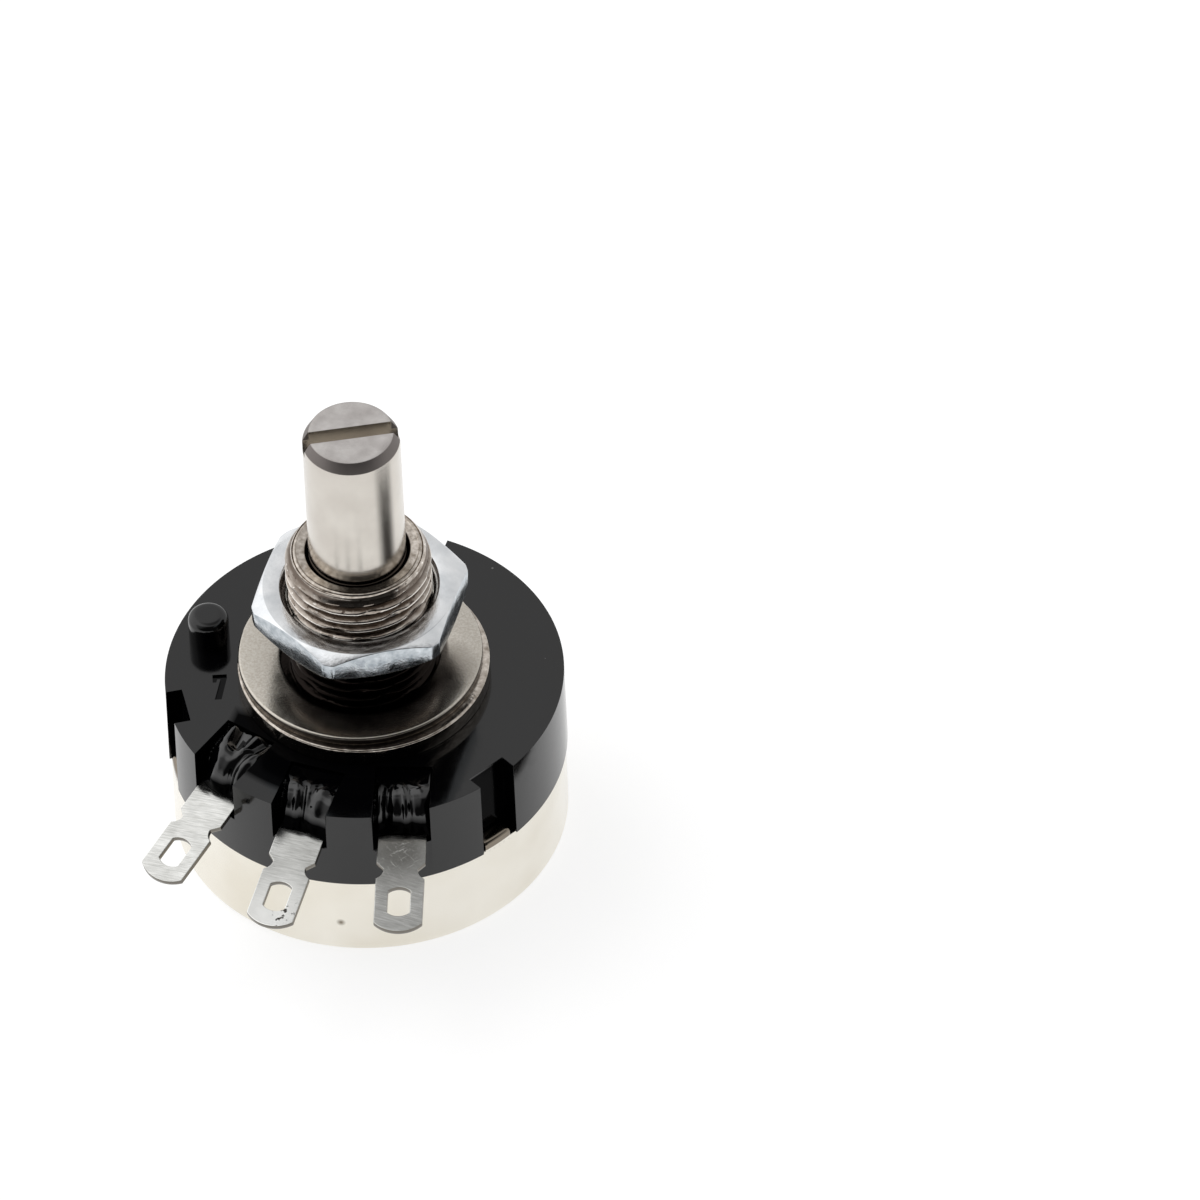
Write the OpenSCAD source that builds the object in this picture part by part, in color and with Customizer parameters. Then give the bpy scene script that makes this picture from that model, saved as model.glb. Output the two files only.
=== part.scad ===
// Rotary potentiometer, 24 mm, single turn, with a 6 mm slotted shaft in an M9 bushing.
// Origin: centre of the rear cover's outer face. +Z runs along the shaft.
// The three terminals point towards -Y and the locating peg stands at -X. Millimetres.

/* [Shaft] */
// Diameter of the shaft
shaft_d = 6; // [5:0.1:6.4]
// Length of the shaft from the mounting face to its tip
shaft_l = 20; // [15:0.5:50]
// Chamfer at the shaft's tip
shaft_chamfer = 0.5; // [0.1:0.1:1]
// Width of the screwdriver slot
slot_w = 1; // [0.6:0.1:1.6]
// Depth of the screwdriver slot
slot_depth = 1.2; // [0.6:0.1:2]
// Width of the relief groove at the bushing's mouth
relief_w = 0.6; // [0.4:0.1:1]
// Depth of the relief groove
relief_depth = 0.4; // [0.2:0.1:0.6]
// Direction of the slot and of the wiper, from +X towards +Y
pointer_angle = 28; // [-50:1:230]

/* [Bushing] */
// Wall of the bushing between the shaft and the thread's crests
bushing_wall = 1.5; // [1.2:0.1:2]
// Length of the bushing from the mounting face to its end
bushing_l = 10; // [8:0.5:12]
// Chamfer at the end of the thread
bushing_chamfer = 0.4; // [0.1:0.1:0.6]
// Thickness of the flange
flange_t = 1.2; // [0.8:0.1:2]
// Radius of the flange's upper edge
flange_edge = 0.3; // [0.1:0.05:0.5]
// Gap between the flange and the terminal channels
flange_gap = 0.6; // [0.2:0.05:2]
// How far the plain tail stands out past the thread, all round
tail_step = 0.1; // [0.05:0.05:0.5]
// How far the tail's end is swaged out over the housing, all round
swage_lip = 0.5; // [0.3:0.1:0.8]
// Gap all round between the shaft and its bore
shaft_play = 0.03; // [0.01:0.01:0.08]

/* [Nut and washer] */
// Wall of the nut between its thread and its flats
nut_wall = 1.5; // [1.2:0.1:3]
// Thickness of the nut
nut_t = 2; // [1.5:0.1:3]
// Height of the nut above the mounting face
nut_height = 4.7; // [1:0.1:5]
// Direction of one of the nut's corners
nut_angle = 33; // [0:1:59]
// How far the nut's corners are trimmed
nut_trim = 0.18; // [0.1:0.02:0.5]
// Gap all round between the nut and the thread
thread_play = 0.05; // [0.02:0.01:0.1]
// How far the flange stands out past the flat washer
washer_inset = 0.25; // [0:0.05:1]
// Thickness of the flat washer
washer_t = 0.5; // [0.3:0.1:0.9]
// Extra width of the washer's bore over the thread
washer_play = 0.8; // [0.4:0.1:1.2]
// How far the loose washer lies off centre, as a share of its play
washer_shift = 0.9; // [0:0.05:0.9]
// Direction in which the washer lies off centre
washer_turn = 142; // [0:1:359]

/* [Housing] */
// Height of the housing from the cover's rim to the front face
housing_l = 5.9; // [5.5:0.1:9]
// Thickness of the front wall
front_wall = 2.85; // [2.4:0.05:3.2]
// Thickness of the side wall
side_wall = 1.85; // [1.75:0.05:3]
// Gap between the rivets' heads and the side of the chamber
chamber_gap = 0.2; // [0.1:0.05:1]
// Chamfer round the front face
face_chamfer = 0.2; // [0.1:0.05:0.4]
// Depth of the spigot inside the cover
spigot_l = 1.8; // [1:0.1:2.5]
// Width of each crimp notch
notch_w = 2.7; // [2.5:0.1:3.5]
// Depth of each crimp notch
notch_depth = 1.1; // [1:0.05:1.2]
// Turn of the crimp notches about the shaft, from square with the middle terminal
notch_turn = 1.35; // [0:0.05:4]
// Gap between a terminal and each side of its channel
channel_gap = 0.25; // [0.1:0.05:0.5]

/* [Locating peg] */
// Diameter of the peg
peg_d = 2.5; // [2:0.1:2.8]
// Height of the peg above the front face
peg_h = 2.1; // [1.5:0.1:3]
// Distance of the peg's axis from the housing's side
peg_inset = 2.15; // [1.8:0.05:2.4]

/* [Rear cover] */
// How far the cover's side lies inside the housing's
cover_step = 0.15; // [0.05:0.05:0.3]
// Height of the cover
cover_h = 6.3; // [4:0.1:12]
// Thickness of the cover's sheet
sheet_t = 0.5; // [0.3:0.05:0.6]
// Outer radius of the cover's rear edge
cover_edge = 0.8; // [0.6:0.1:1.5]
// Width of each crimp tab
tab_w = 2.2; // [1.5:0.1:2.4]
// Height of each crimp tab above the cover's rim
tab_h = 0.95; // [0.8:0.05:1.5]

/* [Terminals] */
// Angle between neighbouring terminals
fan_angle = 16.4; // [12:0.1:18]
// Distance behind the axis of the point that the terminals fan out from
fan_apex = 10.16; // [9.5:0.01:11]
// Width of a terminal
terminal_w = 3; // [2.4:0.1:3.1]
// Thickness of a terminal
terminal_t = 0.4; // [0.3:0.05:0.6]
// Downward slope of a terminal outside the housing
terminal_droop = 15; // [0:1:25]
// How far inside the housing's side a terminal bends down
bend_inset = 0.2; // [0.05:0.05:0.45]
// Distance of a terminal's hole from the housing's side
reach = 3.95; // [3.4:0.05:8]
// How far a terminal's root runs on past its rivet's head
root_l = 0.3; // [0.1:0.05:0.5]
// Length of a terminal hole
eye_l = 2.06; // [1.2:0.02:2.4]
// Width of a terminal hole
eye_w = 1.38; // [1:0.02:1.8]
// Width of a terminal at its waist
waist_w = 2.1; // [1.6:0.1:2.6]
// Distance from a terminal's hole to the start of its tip
blade_l = 1.52; // [1.3:0.02:3]
// Height of the arc at a terminal's tip
tip_l = 0.6; // [0.3:0.05:1]

/* [Sealing resin] */
// How far inside the housing's side the resin ends on a terminal
resin_inset = 0.55; // [0.3:0.05:0.8]
// How far the resin's top lies below the front face
resin_sink = 0.2; // [0.05:0.05:0.6]
// Radius of the resin's front upper edge
resin_round = 1; // [0.4:0.1:1.4]

/* [Contacts] */
// Thickness of the element's wafer
wafer_t = 0.8; // [0.5:0.1:1]
// Thickness of the resistive and collector layers
film_t = 0.1; // [0.05:0.01:0.2]
// Width of the resistive track
track_w = 1.6; // [1.2:0.1:2.4]
// Width of the collector ring
collector_w = 1; // [0.8:0.1:1.6]
// Gap between the bushing's swaged end and the collector ring
collector_gap = 0.55; // [0.3:0.05:1]
// Gap between the collector ring and the track
track_gap = 0.55; // [0.3:0.05:1]
// Diameter of a rivet's shank
rivet_d = 0.9; // [0.6:0.1:1.1]
// Diameter of a rivet's heads
rivet_head_d = 1.4; // [1.2:0.1:1.5]
// Height of a rivet's heads
rivet_head_h = 0.3; // [0.2:0.05:0.35]

/* [Rotor] */
// Mechanical angle of rotation
travel = 300; // [240:5:300]
// Half angle of the rotor's stop lug
lug_half = 10; // [6:1:14]
// Thickness of the rotor's disc
rotor_t = 1.8; // [1.2:0.1:2]
// Length of the rotor's hub
hub_l = 3.2; // [2.4:0.1:3.4]
// Step from the shaft down to its flatted tail, all round
spindle_step = 0.6; // [0.4:0.1:1]
// Depth of each flat on the shaft's tail
spindle_flat = 0.6; // [0.3:0.1:0.8]
// Wall of the rotor's hub
hub_wall = 1.6; // [1:0.1:2.5]
// Running gap between the rotor's lug and the housing
lug_gap = 0.3; // [0.2:0.05:0.5]
// Height of the rotor's stop lug past its disc
lug_l = 1.2; // [0.8:0.1:1.5]
// Thickness of the wiper's sheet
spring_t = 0.2; // [0.1:0.05:0.3]
// Width of each wiper finger
finger_w = 1; // [0.7:0.1:1.2]
// Diameter of a contact brush
brush_d = 1; // [0.6:0.1:1]

/* [Hidden] */
$fn = 96;
// Clearance of pieces that are pressed or moulded together
fit = 0.02;
// Clearance of pieces that are slipped together
slip = 0.05;

// Heights, from the rear face up
face_z = cover_h + housing_l;
mount_z = face_z + flange_t;
bushing_z = mount_z + bushing_l;
tip_z = mount_z + shaft_l;
nut_z = mount_z + nut_height;
spigot_z = cover_h - spigot_l;
ceiling_z = face_z - front_wall;
strip_z = ceiling_z + terminal_t;
wafer_z = ceiling_z - wafer_t;
film_z = wafer_z - film_t;
brush_z = film_z - slip;

// Radii from the shaft outwards: bushing, collector, track, rivets, chamber, housing, cover
thread_d = shaft_d + 2 * bushing_wall;
nut_af = thread_d + 2 * nut_wall;
tail_d = thread_d + 2 * tail_step;
swage_d = tail_d + 2 * swage_lip;
collector_r = swage_d / 2 + collector_gap + collector_w / 2;
track_r = collector_r + collector_w / 2 + track_gap + track_w / 2;
rivet_r = track_r + track_w / 2 + rivet_head_d / 2;
root_r = rivet_r - rivet_head_d / 2 - root_l;
channel_w = terminal_w + 2 * channel_gap;
channel_r = root_r - 0.15;
flange_d = 2 * (channel_r - flange_gap);
washer_d = flange_d - 2 * washer_inset;
cavity_r = rivet_r + rivet_head_d / 2 + chamber_gap;
housing_r = cavity_r + side_wall;
cover_r = housing_r - cover_step;
spigot_r = cover_r - sheet_t - slip;
peg_r = housing_r - peg_inset;
bend_r = housing_r - bend_inset;
terminal_r = housing_r + reach;
resin_r = housing_r - resin_inset;
lug_r = cavity_r - lug_gap;
rotor_r = lug_r - lug_l;
stop_r = rotor_r + 0.2;

// The swaged end of the bushing, and what holds the shaft below it
swage_h = 0.3;
swage_z = ceiling_z - swage_h;
thrust_t = 0.35;
thrust_z = swage_z - slip - thrust_t;
ring_t = 0.45;
ring_z = thrust_z - slip - ring_t;
groove_z = ring_z - slip;
groove_d = shaft_d - 1.2;
relief_z = bushing_z + 0.1 - relief_w;
shoulder_h = 0.7;
rotor_z = groove_z - shoulder_h;
stake_h = 0.6;
spindle_z = rotor_z - hub_l - stake_h;
spindle_d = shaft_d - 2 * spindle_step;
spindle_af = spindle_d - 2 * spindle_flat;
hub_d = spindle_d + 2 * hub_wall;

// Stop: the lug ends a hair before the block at both ends of the travel
stop_half = 180 - travel / 2 - lug_half - 0.3;
// The track runs on a little past the wiper's travel
track_half = travel / 2 + 4;
// Crimp notches and tabs
notches = [for (i = [0 : 2]) 90 + notch_turn + 120 * i];
notch_back = housing_r - notch_depth;
ledge_z = cover_h + tab_h - sheet_t - slip;
tab_angle = 2 * asin(tab_w / 2 / cover_r);
fans = [-fan_angle, 0, fan_angle];

// Points of an arc about c from angle a0 to a1
function arc(c, r, a0, a1, n = 8) =
    [for (i = [0 : n]) let (a = a0 + (a1 - a0) * i / n) [c[0] + r * cos(a), c[1] + r * sin(a)]];

// Distance from the fan's apex, along a terminal's centre line, to a given radius of the body
function along(r, fan) = fan_apex * cos(fan) + sqrt(r * r - pow(fan_apex * sin(fan), 2));

// Direction of a terminal's rivet as seen from the shaft
function rivet_angle(fan) =
    let (d = along(rivet_r, fan)) atan2(fan_apex - d * cos(fan), d * sin(fan));

// Places children in a terminal's frame: X runs outwards along its centre line
module on_strip(fan) {
    translate([0, fan_apex, 0]) rotate(fan - 90) children();
}

// A bar of rectangular section with two flats, used for the shaft's tail and its hole
module double_d(d, af, h) {
    intersection() {
        cylinder(d = d, h = h);
        translate([-d, -af / 2, 0]) cube([2 * d, af, h]);
    }
}

// Turned shaft with slot, ring groove and flatted tail
module shaft() {
    r = shaft_d / 2;
    color("#c9c4bb") rotate(pointer_angle) {
        difference() {
            rotate_extrude() polygon([
                [0, rotor_z], [r, rotor_z], [r, groove_z],
                [groove_d / 2, groove_z], [groove_d / 2, thrust_z],
                [r, thrust_z], [r, relief_z], [r - relief_depth, relief_z],
                [r - relief_depth, relief_z + relief_w], [r, relief_z + relief_w],
                [r, tip_z - shaft_chamfer],
                [r - shaft_chamfer, tip_z], [0, tip_z]]);
            translate([-shaft_d, -slot_w / 2, tip_z - slot_depth])
                cube([2 * shaft_d, slot_w, slot_depth + 1]);
        }
        translate([0, 0, spindle_z + stake_h / 2])
            double_d(spindle_d, spindle_af, hub_l + stake_h);
        translate([0, 0, spindle_z]) cylinder(d = spindle_d, h = stake_h);
    }
}

// Flanged bushing, swaged over the inside of the front wall
module bushing() {
    bore = shaft_d / 2 + shaft_play;
    r = thread_d / 2;
    fr = flange_d / 2;
    color("#c3beb6") rotate_extrude() polygon(concat(
        [[bore, swage_z], [swage_d / 2 - 0.1, swage_z], [swage_d / 2, swage_z + 0.1],
         [swage_d / 2, ceiling_z], [tail_d / 2, ceiling_z], [tail_d / 2, face_z],
         [fr, face_z]],
        arc([fr - flange_edge, mount_z - flange_edge], flange_edge, 0, 90, 6),
        [[r, mount_z], [r, bushing_z - bushing_chamfer], [r - bushing_chamfer, bushing_z],
         [bore + 0.25, bushing_z], [bore, bushing_z - 0.25]]));
}

// Hexagon nut with both ends of its corners turned off at 30 degrees
module hex_nut() {
    bore = thread_d / 2 + thread_play;
    corner = nut_af / 2 / cos(30);
    trim = corner - nut_trim;
    inner = nut_af / 2 - 0.05;
    rise = (trim - inner) * tan(30);
    color("#c7cacf") translate([0, 0, nut_z]) difference() {
        intersection() {
            rotate(nut_angle) cylinder(r = corner, h = nut_t, $fn = 6);
            rotate_extrude() polygon([
                [0, 0], [inner, 0], [trim, rise], [trim, nut_t - rise], [inner, nut_t],
                [0, nut_t]]);
        }
        translate([0, 0, -1]) cylinder(r = bore, h = nut_t + 2);
        for (side = [0, 1])
            translate([0, 0, side * nut_t]) mirror([0, 0, side]) translate([0, 0, -0.001])
                cylinder(r1 = bore + 0.35, r2 = bore, h = 0.35);
    }
}

// Loose washer, lying against one side of the thread
module flat_washer() {
    color("#b8b3a9")
    rotate(washer_turn) translate([washer_shift * washer_play / 2, 0, mount_z]) difference() {
        cylinder(d = washer_d, h = washer_t);
        translate([0, 0, -1]) cylinder(d = thread_d + washer_play, h = washer_t + 2);
    }
}

// Room for one terminal: open at the front face, with a floor that slopes off at the rim
module channel(fan) {
    near = along(channel_r, fan);
    bend = along(bend_r, fan);
    l = along(housing_r + 4, fan) - near;
    on_strip(fan) {
        translate([near, -channel_w / 2, ceiling_z - fit]) cube([l, channel_w, front_wall + 1]);
        translate([bend, -channel_w / 2, strip_z]) rotate([0, terminal_droop, 0])
            translate([0, 0, -terminal_t - fit]) cube([l, channel_w, front_wall]);
    }
}

// Moulded housing: front wall, side wall, spigot, rotation stop and locating peg
module housing() {
    color("#2a2b2d") difference() {
        union() {
            rotate_extrude() polygon([
                [tail_d / 2 + fit, ceiling_z], [tail_d / 2 + fit, face_z],
                [housing_r - face_chamfer, face_z], [housing_r, face_z - face_chamfer],
                [housing_r, cover_h + 0.1], [housing_r - 0.1, cover_h],
                [spigot_r, cover_h], [spigot_r, spigot_z + 0.2], [spigot_r - 0.2, spigot_z],
                [cavity_r, spigot_z], [cavity_r, ceiling_z]]);
            rotate(-90 - stop_half) rotate_extrude(angle = 2 * stop_half)
                translate([stop_r, rotor_z - rotor_t - 0.2])
                    square([cavity_r + 0.2 - stop_r, rotor_t + 0.4]);
            translate([-peg_r, 0, face_z - 0.5]) rotate_extrude($fn = 48) polygon([
                [0, 0], [peg_d / 2, 0], [peg_d / 2, peg_h + 0.25],
                [peg_d / 2 - 0.25, peg_h + 0.5], [0, peg_h + 0.5]]);
        }
        for (a = notches) rotate(a) {
            translate([notch_back, -notch_w / 2, ledge_z])
                cube([notch_depth + 1, notch_w, housing_l]);
            translate([spigot_r, -notch_w / 2, cover_h - fit])
                cube([notch_depth + 1, notch_w, housing_l]);
        }
        for (fan = fans) channel(fan);
    }
}

// Drawn cover; three tabs of its rim are bent in over the housing's ledges
module rear_cover() {
    in = cover_r - sheet_t;
    er = cover_edge - sheet_t;
    top = cover_h + tab_h;
    color("#c9c5ba") difference() {
        rotate_extrude() polygon(concat(
            [[0, 0]],
            arc([cover_r - cover_edge, cover_edge], cover_edge, -90, 0),
            arc([cover_r - sheet_t, top - sheet_t], sheet_t, 0, 90, 6),
            [[notch_back + 0.1, top], [notch_back + 0.1, top - sheet_t], [in, top - sheet_t]],
            arc([in - er, sheet_t + er], er, 0, -90, 6),
            [[0, sheet_t]]));
        for (a = notches) rotate(a + tab_angle / 2)
            rotate_extrude(angle = 120 - tab_angle)
                translate([notch_back - 1, cover_h]) square([4, tab_h + 1]);
    }
}

// One side of a terminal's outline, from its root to its tip, with the hole at x = 0
function blade_half() =
    let (w = terminal_w / 2, n = waist_w / 2, k = w - n, s = 0.65,
         r = (s * s + k * k) / (2 * k), e = asin(s / r),
         rt = (w * w + tip_l * tip_l) / (2 * tip_l), et = asin(w / rt))
    concat(
        [[-s - 1.68 - k, w]],
        arc([-s - 1.68, n + r], r, -90, -90 + e, 6),
        arc([blade_l + tip_l - rt, 0], rt, et, 0, 8));

// Flat outline of the terminal's outer part; x = 0 is the bend and x = hole its hole
module blade(hole) {
    half = [for (p = blade_half()) [p[0] + hole, p[1]]];
    n = len(half) - 1;
    difference() {
        polygon(concat([[-2, terminal_w / 2]], half,
            [for (i = [1 : n]) [half[n - i][0], -half[n - i][1]]], [[-2, -terminal_w / 2]]));
        translate([hole, 0]) intersection() {
            circle(d = eye_l, $fn = 48);
            square([2 * eye_l, eye_w], center = true);
        }
    }
}

// Sheet of the terminal before its outline is cut: a flat root and a sloping outer part
module strip(fan) {
    start = along(root_r, fan);
    bend = along(bend_r, fan);
    run = along(terminal_r, fan) - bend + blade_l + tip_l + 1;
    miter = terminal_t * tan(terminal_droop / 2);
    fall = run * tan(terminal_droop);
    slant = terminal_t / cos(terminal_droop);
    translate([0, terminal_w / 2, 0]) rotate([90, 0, 0]) linear_extrude(terminal_w)
        polygon([
            [start, ceiling_z], [bend - miter, ceiling_z],
            [bend + run, strip_z - fall - slant], [bend + run, strip_z - fall],
            [bend, strip_z], [start, strip_z]]);
}

// Stamped solder terminal
module terminal(fan) {
    bend = along(bend_r, fan);
    hole = (along(terminal_r, fan) - bend) / cos(terminal_droop);
    color("#bfbfba") on_strip(fan) difference() {
        intersection() {
            strip(fan);
            union() {
                translate([bend, 0, strip_z]) rotate([0, terminal_droop, 0])
                    translate([0, 0, -2]) linear_extrude(4) blade(hole);
                translate([bend - 8, -terminal_w / 2, ceiling_z - 1])
                    cube([7, terminal_w, 3]);
            }
        }
        translate([along(rivet_r, fan), 0, ceiling_z - 1])
            cylinder(d = rivet_d + 2 * fit, h = 3, $fn = 32);
    }
}

// Sealing resin: fills the channel over the terminal's root, with a rounded front
module terminal_seal(fan) {
    near = along(channel_r, fan);
    foot = along(resin_r, fan);
    top = face_z - resin_sink;
    color("#1d1e20") on_strip(fan) difference() {
        translate([0, channel_w / 2, 0]) rotate([90, 0, 0]) linear_extrude(channel_w)
            polygon(concat(
                [[foot, ceiling_z], [near, ceiling_z], [near, top]],
                arc([foot - resin_round, top - resin_round], resin_round, 90, 0)));
        strip(fan);
        translate([along(rivet_r, fan), 0, strip_z - 0.01])
            cylinder(d = rivet_head_d, h = rivet_head_h + 0.01, $fn = 32);
        translate([along(rivet_r, fan), 0, ceiling_z])
            cylinder(d = rivet_d + 2 * fit, h = terminal_t, $fn = 32);
    }
}

// Places children on the axis of a terminal's rivet
module at_rivet(fan) {
    on_strip(fan) translate([along(rivet_r, fan), 0, 0]) children();
}

// Laminate disc that carries the resistive layer
module element_wafer() {
    color("#7a4a24") difference() {
        translate([0, 0, wafer_z]) cylinder(r = cavity_r - 0.15, h = wafer_t);
        translate([0, 0, wafer_z - 1]) cylinder(d = swage_d + 0.4, h = wafer_t + 2);
        for (fan = fans) at_rivet(fan)
            translate([0, 0, wafer_z - 1]) cylinder(d = rivet_d + 2 * fit, h = 3, $fn = 32);
    }
}

// Tongue of a layer that reaches out to a rivet
module tongue(fan, from_r) {
    difference() {
        rotate(rivet_angle(fan)) translate([from_r, -rivet_head_d / 2, film_z])
            cube([rivet_r - from_r, rivet_head_d, film_t]);
        at_rivet(fan) translate([0, 0, film_z - 1])
            cylinder(d = rivet_d + 2 * fit, h = 2, $fn = 32);
    }
}

// Printed carbon horseshoe with a tongue at each end
module resistive_track() {
    color("#3a3330") {
        rotate(90 - track_half) rotate_extrude(angle = 2 * track_half)
            translate([track_r - track_w / 2, film_z]) square([track_w, film_t]);
        for (fan = [-fan_angle, fan_angle]) tongue(fan, track_r);
    }
}

// Plated ring that the wiper's second brush runs on, with a tongue to the middle terminal
module collector_ring() {
    color("#c8b89a") {
        translate([0, 0, film_z]) difference() {
            cylinder(r = collector_r + collector_w / 2, h = film_t);
            translate([0, 0, -1]) cylinder(r = collector_r - collector_w / 2, h = film_t + 2);
        }
        tongue(0, collector_r);
    }
}

// Rivet through a terminal's root, the wafer and a layer's tongue
module terminal_rivet(fan) {
    color("#b7a98c") at_rivet(fan) {
        translate([0, 0, film_z]) cylinder(d = rivet_d, h = strip_z - film_z, $fn = 32);
        translate([0, 0, strip_z]) cylinder(d = rivet_head_d, h = rivet_head_h, $fn = 32);
        translate([0, 0, film_z - rivet_head_h])
            cylinder(d = rivet_head_d, h = rivet_head_h, $fn = 32);
    }
}

// Washer between the bushing's swaged end and the retaining ring
module thrust_washer() {
    color("#b9b4aa") translate([0, 0, thrust_z]) difference() {
        cylinder(d = swage_d - 1.6, h = thrust_t);
        translate([0, 0, -1]) cylinder(d = shaft_d + 4 * slip, h = thrust_t + 2);
    }
}

// Open ring that snaps into the shaft's groove
module retaining_ring() {
    color("#8d8f92") rotate(pointer_angle) translate([0, 0, ring_z]) difference() {
        cylinder(d = swage_d - 2.2, h = ring_t);
        translate([0, 0, -1]) cylinder(d = groove_d + 2 * fit, h = ring_t + 2);
        translate([-swage_d, -groove_d * 0.3, -1]) cube([swage_d, groove_d * 0.6, ring_t + 2]);
    }
}

// Moulded rotor: disc, hub, stop lug and two pins that hold the wiper
module rotor() {
    color("#d9d4c4") rotate(pointer_angle) {
        difference() {
            union() {
                rotate(180) rotate_extrude() polygon([
                    [0, rotor_z - hub_l], [hub_d / 2, rotor_z - hub_l],
                    [hub_d / 2, rotor_z - rotor_t], [rotor_r, rotor_z - rotor_t],
                    [rotor_r, rotor_z], [0, rotor_z]]);
                rotate(-lug_half) rotate_extrude(angle = 2 * lug_half)
                    translate([rotor_r - 0.5, rotor_z - rotor_t + 0.1])
                        square([lug_r - rotor_r + 0.5, rotor_t - 0.2]);
            }
            translate([0, 0, rotor_z - hub_l - 1])
                double_d(spindle_d + 2 * fit, spindle_af + 2 * fit, hub_l + 2);
        }
        for (y = [-1, 1]) translate([0, y * (shaft_d / 2 + 0.95), rotor_z - 0.2])
            cylinder(d = 0.8, h = 0.2 + spring_t + 0.15, $fn = 32);
    }
}

// Side profile of a wiper finger that ends at radius r
module finger(r) {
    base = rotor_z;
    end = brush_z - 0.35;
    rotate([90, 0, 0]) linear_extrude(finger_w, center = true) polygon([
        [shaft_d / 2 + 1, base], [shaft_d / 2 + 2, base],
        [r - brush_d / 2 - 0.1, end - spring_t], [r + brush_d / 2 + 0.05, end - spring_t],
        [r + brush_d / 2 + 0.05, end], [r - brush_d / 2 - 0.15, end],
        [shaft_d / 2 + 1.95, base + spring_t], [shaft_d / 2 + 1, base + spring_t]]);
}

// Flat spring with one finger for the track and one for the collector
module wiper_spring() {
    color("#c98f5a") rotate(pointer_angle) {
        translate([0, 0, rotor_z]) difference() {
            cylinder(d = shaft_d + 3.4, h = spring_t);
            translate([0, 0, -1]) cylinder(d = shaft_d + 4 * slip, h = spring_t + 2);
            for (y = [-1, 1]) translate([0, y * (shaft_d / 2 + 0.95), -1])
                cylinder(d = 0.8 + 2 * fit, h = spring_t + 2, $fn = 32);
        }
        translate([0, -finger_w / 2 - 0.15, 0]) finger(track_r);
        translate([0, finger_w / 2 + 0.15, 0]) finger(collector_r);
    }
}

// Contact button on the end of a finger
module brush(r, side) {
    color("#4a4642") rotate(pointer_angle)
        translate([r, side * (finger_w / 2 + 0.15), brush_z - 0.35])
            cylinder(d = min(brush_d, finger_w), h = 0.35, $fn = 32);
}

module terminal_1() { terminal(-fan_angle); }
module terminal_2() { terminal(0); }
module terminal_3() { terminal(fan_angle); }
module terminal_seal_1() { terminal_seal(-fan_angle); }
module terminal_seal_2() { terminal_seal(0); }
module terminal_seal_3() { terminal_seal(fan_angle); }
module terminal_rivet_1() { terminal_rivet(-fan_angle); }
module terminal_rivet_2() { terminal_rivet(0); }
module terminal_rivet_3() { terminal_rivet(fan_angle); }
module track_brush() { brush(track_r, -1); }
module collector_brush() { brush(collector_r, 1); }

shaft();
bushing();
hex_nut();
flat_washer();
housing();
rear_cover();
terminal_1();
terminal_2();
terminal_3();
terminal_seal_1();
terminal_seal_2();
terminal_seal_3();
element_wafer();
resistive_track();
collector_ring();
terminal_rivet_1();
terminal_rivet_2();
terminal_rivet_3();
thrust_washer();
retaining_ring();
rotor();
wiper_spring();
track_brush();
collector_brush();
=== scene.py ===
# %% [markdown]
# # A rotary potentiometer on a white table
# The object is a single-turn potentiometer of 24 mm across: a slotted steel shaft in a threaded
# bushing, a hexagon nut and a washer on the thread, a black moulded housing closed by a drawn metal
# cover, and three solder terminals that fan out of resin-filled channels.
# The measured model gives every size. This lesson dresses it: each visible part is modelled again
# with softer edges, a real thread and wrinkled resin, and gets a material of its own.

# %% Load the measured model
import bpy
import math
from mathutils import Matrix, Vector


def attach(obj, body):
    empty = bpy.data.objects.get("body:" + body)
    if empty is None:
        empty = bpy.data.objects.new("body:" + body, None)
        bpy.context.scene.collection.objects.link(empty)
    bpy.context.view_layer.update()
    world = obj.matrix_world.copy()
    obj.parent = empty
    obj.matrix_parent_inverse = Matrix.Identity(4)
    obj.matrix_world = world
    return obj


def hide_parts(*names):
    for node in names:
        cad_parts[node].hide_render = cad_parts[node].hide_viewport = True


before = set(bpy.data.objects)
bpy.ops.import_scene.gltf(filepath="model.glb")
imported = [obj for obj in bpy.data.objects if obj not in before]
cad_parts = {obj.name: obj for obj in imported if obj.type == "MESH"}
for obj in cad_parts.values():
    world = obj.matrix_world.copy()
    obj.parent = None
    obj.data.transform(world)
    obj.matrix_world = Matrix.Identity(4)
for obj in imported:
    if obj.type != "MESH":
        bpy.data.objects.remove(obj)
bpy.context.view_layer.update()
MM = 0.001

# %% [markdown]
# ## Camera
# The photograph is a close-up from 46 degrees above the table, taken with a long lens, so lines
# that are parallel on the object stay parallel in it. The camera stands 3.3 m away with a very
# long lens, 21.6 degrees round from the front, and is rolled by 3 degrees, so that the shaft leans
# a little to the left.

# %% Camera at the photograph's angle
PHOTO_WIDTH = 73.73 * MM
elevation = math.radians(46.04)
azimuth = math.radians(21.6)
roll = math.radians(3.0)
distance = 3.3

turn = Matrix.Rotation(azimuth, 3, "Z")
forward = turn @ Vector((0, math.cos(elevation), -math.sin(elevation)))
right = turn @ Vector((1, 0, 0))
up = turn @ Vector((0, math.sin(elevation), math.cos(elevation)))
aim = turn @ Vector((14.65 * MM, 8.78 * MM, 8.47 * MM))
cam_x = right * math.cos(roll) - up * math.sin(roll)
cam_y = right * math.sin(roll) + up * math.cos(roll)
place = aim - forward * distance

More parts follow.
